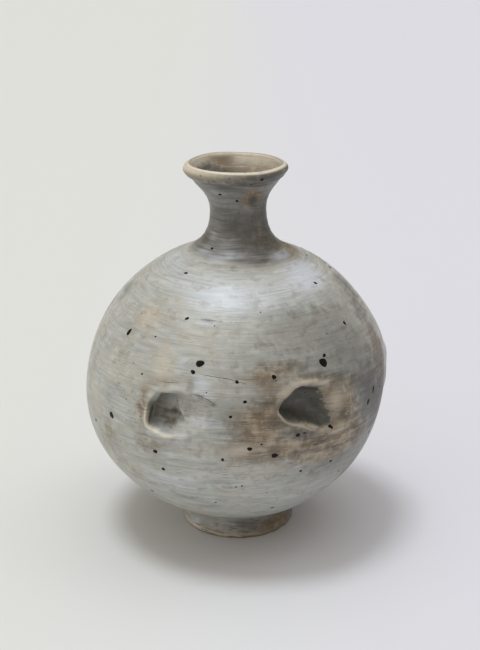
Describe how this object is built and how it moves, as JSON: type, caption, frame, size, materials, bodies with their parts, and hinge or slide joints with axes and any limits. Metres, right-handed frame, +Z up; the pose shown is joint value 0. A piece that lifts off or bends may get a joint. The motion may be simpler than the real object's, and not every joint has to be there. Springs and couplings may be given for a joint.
{
  "type": "ceramic bottle",
  "caption": "Round-bellied stoneware bottle on a foot ring, with a narrow waisted neck, a flared mouth and thumb-pressed dents round the belly.",
  "frame": {"origin": "middle of the foot ring, on the surface that the bottle stands on", "axes": "+Z up along the bottle's axis, -Y to the front, with two thumb presses facing it, +X to the right seen from the front"},
  "size_m": [0.2099, 0.2078, 0.26],
  "materials": {
    "bare_clay": "unglazed, rough, burnt brown and ash grey",
    "brushed_slip": "semi-matt glaze over grey-green brushed slip with iron spots and tan blushes",
    "thin_slip": "semi-matt glaze over thin dark slip, tan towards the mouth"
  },
  "bodies": {
    "root": {"foot_ring": "bare_clay", "lower_bowl": "brushed_slip", "upper_bowl": "brushed_slip", "neck": "thin_slip", "mouth_lip": "thin_slip"}
  },
  "joints": []
}
